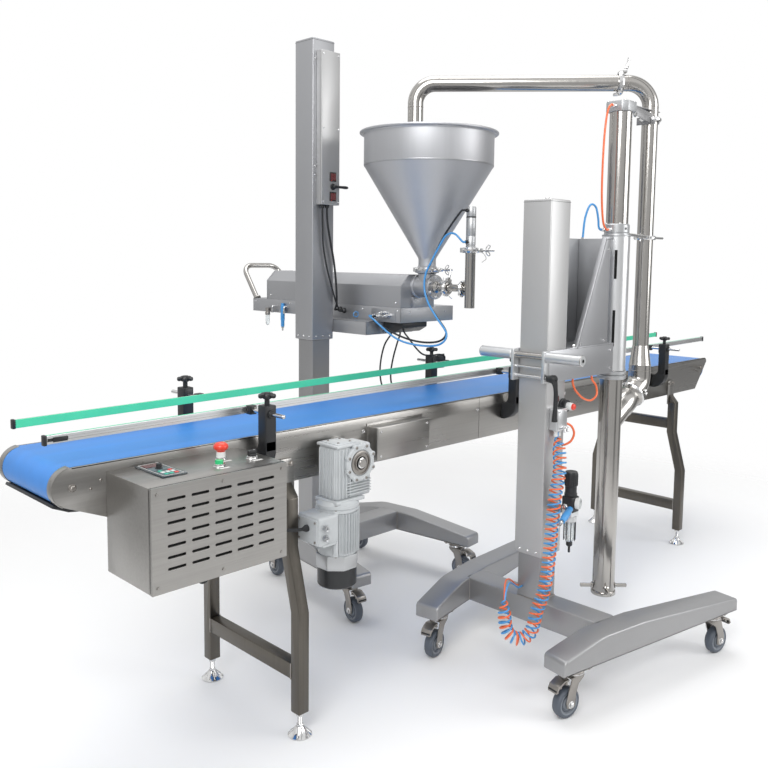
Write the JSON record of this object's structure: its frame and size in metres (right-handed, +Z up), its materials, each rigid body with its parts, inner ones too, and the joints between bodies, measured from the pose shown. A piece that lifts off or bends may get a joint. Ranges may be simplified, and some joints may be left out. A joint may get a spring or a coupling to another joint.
{
  "type": "cake depositor",
  "caption": "Belt conveyor with a wheeled piston depositor and hopper over the belt, and a wheeled transfer pump whose pipe fills the hopper.",
  "frame": {"origin": "bottom centre of the overall box, on the floor", "axes": "+X along the belt from the control box, +Y towards the depositor's handle, +Z up"},
  "size_m": [3.647, 2.3008, 2.354],
  "materials": {
    "stainless": "brushed stainless sheet and tube",
    "polished_rod": "polished rod",
    "stand_steel": "satin stainless steel",
    "motor_paint": "light grey paint",
    "belt_blue": "blue smooth belt",
    "guide_green": "green low-friction plastic",
    "black_plastic": "black plastic",
    "hose_colours": "orange and blue hose",
    "red_plastic": "red plastic",
    "green_plastic": "green plastic",
    "wheel_tread": "dark rubber tread"
  },
  "bodies": {
    "base": {"conveyor_frame": "stainless", "belt": "belt_blue", "leg_frames": "stainless", "levelling_feet": "black_plastic", "rail_brackets": "black_plastic", "control_box": "stainless", "control_cover": "stainless", "gear_motor": "motor_paint", "motor_cable": "black_plastic", "depositor_stand": "stand_steel", "pump_stand": "stand_steel"},
    "depositor": {"depositor_sleeve": "stainless", "depositor_controls": "stand_steel", "tray": "stainless", "cylinder_cover": "stainless", "cylinder_unit": "stainless", "manifold": "stainless", "hopper": "stainless", "spout": "stainless", "depositor_hoses": "black_plastic", "tray_cables": "black_plastic"},
    "pump": {"pump_sleeve": "stand_steel", "pump_bracket": "stainless", "pump_cylinder": "stand_steel", "product_tube": "stainless", "transfer_pipe": "stainless", "grip_frame": "stainless", "air_unit": "black_plastic", "pump_hoses": "hose_colours", "coil_hoses": "hose_colours"},
    "piston": {"piston_rod": "polished_rod"},
    "plunger": {"plunger": "polished_rod"},
    "lever_switch": {"lever_switch": "black_plastic"},
    "pump_rod": {"pump_rod": "polished_rod"},
    "clamp_lever": {"clamp_lever": "black_plastic"},
    "valve_button": {"valve_button": "red_plastic"},
    "drive_roller": {"drive_roller": "stainless"},
    "tail_roller": {"tail_roller": "stainless"},
    "end_roller": {"end_roller": "stainless"},
    "back_rail": {"back_rail": "guide_green"},
    "front_rail": {"front_rail": "polished_rod"},
    "emergency_stop": {"emergency_stop": "red_plastic"},
    "start_button": {"start_button": "green_plastic"},
    "selector_knob": {"selector_knob": "black_plastic"},
    "fork_1": {"fork_1": "stand_steel"},
    "fork_2": {"fork_2": "stand_steel"},
    "fork_3": {"fork_3": "stand_steel"},
    "fork_4": {"fork_4": "stand_steel"},
    "fork_5": {"fork_5": "stand_steel"},
    "fork_6": {"fork_6": "stand_steel"},
    "fork_7": {"fork_7": "stand_steel"},
    "fork_8": {"fork_8": "stand_steel"},
    "wheel_1": {"wheel_1": "wheel_tread"},
    "wheel_2": {"wheel_2": "wheel_tread"},
    "wheel_3": {"wheel_3": "wheel_tread"},
    "wheel_4": {"wheel_4": "wheel_tread"},
    "wheel_5": {"wheel_5": "wheel_tread"},
    "wheel_6": {"wheel_6": "wheel_tread"},
    "wheel_7": {"wheel_7": "wheel_tread"},
    "wheel_8": {"wheel_8": "wheel_tread"}
  },
  "joints": [
    {"name": "depositor_lift", "type": "slide", "parent": "base", "child": "depositor", "axis": [0, 0, 1], "range_m": [-0.06, 0.08], "deforming": ["tray_cables"]},
    {"name": "pump_lift", "type": "slide", "parent": "base", "child": "pump", "axis": [0, 0, 1], "range_m": [-0.04, 0.2], "deforming": ["coil_hoses"]},
    {"name": "piston_stroke", "type": "slide", "parent": "depositor", "child": "piston", "axis": [0, 1, 0], "range_m": [0, 0.18]},
    {"name": "plunger_stroke", "type": "slide", "parent": "depositor", "child": "plunger", "axis": [0, 0, 1], "range_m": [0, 0.03]},
    {"name": "lever_turn", "type": "hinge", "parent": "depositor", "child": "lever_switch", "pos_m": [-0.3245, 0.32288, 1.752], "axis": [0, 1, 0], "range_deg": [-45, 45]},
    {"name": "pump_stroke", "type": "slide", "parent": "pump", "child": "pump_rod", "axis": [0, 0, 1], "range_m": [0, 0.3]},
    {"name": "clamp_turn", "type": "hinge", "parent": "pump", "child": "clamp_lever", "pos_m": [-0.2855, -0.76312, 1.058], "axis": [0, 1, 0], "range_deg": [-60, 60]},
    {"name": "valve_press", "type": "slide", "parent": "pump", "child": "valve_button", "axis": [0, 1, 0], "range_m": [0, 0.005]},
    {"name": "belt_drive", "type": "hinge", "parent": "base", "child": "drive_roller", "pos_m": [-0.9115, -0.19712, 0.826], "axis": [0, 1, 0], "continuous": true},
    {"name": "tail_turn", "type": "hinge", "parent": "base", "child": "tail_roller", "pos_m": [-1.7695, -0.19712, 0.885], "axis": [0, 1, 0], "continuous": true},
    {"name": "end_turn", "type": "hinge", "parent": "base", "child": "end_roller", "pos_m": [1.7385, -0.19712, 0.885], "axis": [0, 1, 0], "continuous": true},
    {"name": "back_rail_slide", "type": "slide", "parent": "base", "child": "back_rail", "axis": [0, 1, 0], "range_m": [-0.035, 0.035]},
    {"name": "front_rail_slide", "type": "slide", "parent": "base", "child": "front_rail", "axis": [0, 1, 0], "range_m": [-0.035, 0.035]},
    {"name": "stop_press", "type": "slide", "parent": "base", "child": "emergency_stop", "axis": [0, 0, 1], "range_m": [-0.005, 0]},
    {"name": "start_press", "type": "slide", "parent": "base", "child": "start_button", "axis": [0, 0, 1], "range_m": [-0.004, 0]},
    {"name": "selector_turn", "type": "hinge", "parent": "base", "child": "selector_knob", "pos_m": [-1.3285, -0.49912, 0.92], "axis": [0, 0, 1], "range_deg": [-45, 45]},
    {"name": "swivel_1", "type": "hinge", "parent": "base", "child": "fork_1", "pos_m": [0.1473, 0.61339, 0.15], "axis": [0, 0, 1], "range_deg": [-175, 175]},
    {"name": "swivel_2", "type": "hinge", "parent": "base", "child": "fork_2", "pos_m": [0.2187, 0.07107, 0.15], "axis": [0, 0, 1], "range_deg": [-175, 175]},
    {"name": "swivel_3", "type": "hinge", "parent": "base", "child": "fork_3", "pos_m": [-0.3783, 0.61339, 0.15], "axis": [0, 0, 1], "range_deg": [-175, 175]},
    {"name": "swivel_4", "type": "hinge", "parent": "base", "child": "fork_4", "pos_m": [-0.4497, 0.07107, 0.15], "axis": [0, 0, 1], "range_deg": [-175, 175]},
    {"name": "swivel_5", "type": "hinge", "parent": "base", "child": "fork_5", "pos_m": [-0.40286, -0.37719, 0.15], "axis": [0, 0, 1], "range_deg": [-175, 175]},
    {"name": "swivel_6", "type": "hinge", "parent": "base", "child": "fork_6", "pos_m": [0.31908, -0.24469, 0.15], "axis": [0, 0, 1], "range_deg": [-175, 175]},
    {"name": "swivel_7", "type": "hinge", "parent": "base", "child": "fork_7", "pos_m": [-0.40286, -0.95505, 0.15], "axis": [0, 0, 1], "range_deg": [-175, 175]},
    {"name": "swivel_8", "type": "hinge", "parent": "base", "child": "fork_8", "pos_m": [0.31908, -1.08755, 0.15], "axis": [0, 0, 1], "range_deg": [-175, 175]},
    {"name": "roll_1", "type": "hinge", "parent": "fork_1", "child": "wheel_1", "pos_m": [0.14286, 0.6471, 0.05], "axis": [-0.9914, -0.1305, 0], "continuous": true},
    {"name": "roll_2", "type": "hinge", "parent": "fork_2", "child": "wheel_2", "pos_m": [0.22313, 0.03736, 0.05], "axis": [0.9914, 0.1305, 0], "continuous": true},
    {"name": "roll_3", "type": "hinge", "parent": "fork_3", "child": "wheel_3", "pos_m": [-0.37386, 0.6471, 0.05], "axis": [-0.9914, 0.1305, 0], "continuous": true},
    {"name": "roll_4", "type": "hinge", "parent": "fork_4", "child": "wheel_4", "pos_m": [-0.45413, 0.03736, 0.05], "axis": [0.9914, -0.1305, 0], "continuous": true},
    {"name": "roll_5", "type": "hinge", "parent": "fork_5", "child": "wheel_5", "pos_m": [-0.4363, -0.38333, 0.05], "axis": [0.1805, -0.9836, 0], "continuous": true},
    {"name": "roll_6", "type": "hinge", "parent": "fork_6", "child": "wheel_6", "pos_m": [0.35252, -0.23855, 0.05], "axis": [-0.1805, 0.9836, 0], "continuous": true},
    {"name": "roll_7", "type": "hinge", "parent": "fork_7", "child": "wheel_7", "pos_m": [-0.4363, -0.94891, 0.05], "axis": [-0.1805, -0.9836, 0], "continuous": true},
    {"name": "roll_8", "type": "hinge", "parent": "fork_8", "child": "wheel_8", "pos_m": [0.35252, -1.09368, 0.05], "axis": [0.1805, 0.9836, 0], "continuous": true}
  ],
  "couplings": [
    {"joint": "tail_turn", "follows": "belt_drive", "ratio": 0.83333},
    {"joint": "end_turn", "follows": "belt_drive", "ratio": 0.83333}
  ]
}
